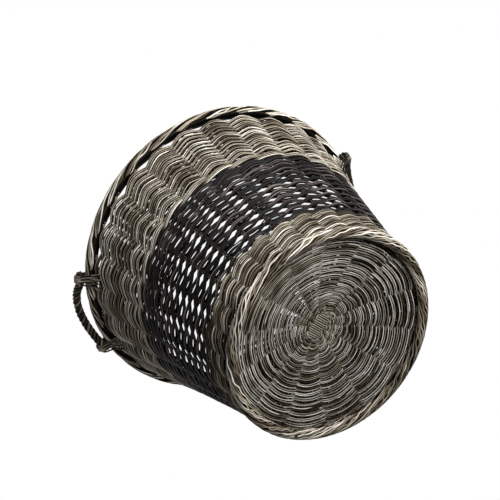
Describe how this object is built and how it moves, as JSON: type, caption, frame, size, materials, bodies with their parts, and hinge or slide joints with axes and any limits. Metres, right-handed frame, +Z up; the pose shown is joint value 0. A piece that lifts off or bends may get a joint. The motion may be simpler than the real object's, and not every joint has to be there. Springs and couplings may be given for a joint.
{
  "type": "round wicker basket",
  "caption": "Round tapered willow basket, grey with a dark woven band, rolled border, woven foot ring and small twisted rope handles on the rim.",
  "frame": {"origin": "centre of the foot ring's underside", "axes": "+Z up along the basket's axis, towards the mouth; +X and -X through the middles of the two handles"},
  "size_m": [0.43, 0.4, 0.3085],
  "materials": {
    "grey_willow": "grey-washed willow rods, dry and matt, brown in the creases",
    "dark_willow": "dark brown stained willow rods with a faint sheen",
    "stake_willow": "thin brown-grey willow rods, matt",
    "handle_rope": "dark grey-brown willow twisted into a rope",
    "lashing_cane": "split willow wound tight, matt grey"
  },
  "bodies": {
    "root": {"stake_pair_01": "stake_willow", "stake_pair_02": "stake_willow", "stake_pair_03": "stake_willow", "stake_pair_04": "stake_willow", "stake_pair_05": "stake_willow", "stake_pair_06": "stake_willow", "stake_pair_07": "stake_willow", "stake_pair_08": "stake_willow", "stake_pair_09": "stake_willow", "stake_pair_10": "stake_willow", "stake_pair_11": "stake_willow", "stake_pair_12": "stake_willow", "stake_pair_13": "stake_willow", "stake_pair_14": "stake_willow", "foot_border": "grey_willow", "base_weave": "grey_willow", "lower_wale": "grey_willow", "dark_band": "dark_willow", "middle_wale": "grey_willow", "light_band": "grey_willow", "rolled_border": "grey_willow", "handle_left_rope": "handle_rope", "lashing_left_front": "lashing_cane", "lashing_left_back": "lashing_cane", "handle_right_rope": "handle_rope", "lashing_right_front": "lashing_cane", "lashing_right_back": "lashing_cane"}
  },
  "joints": []
}
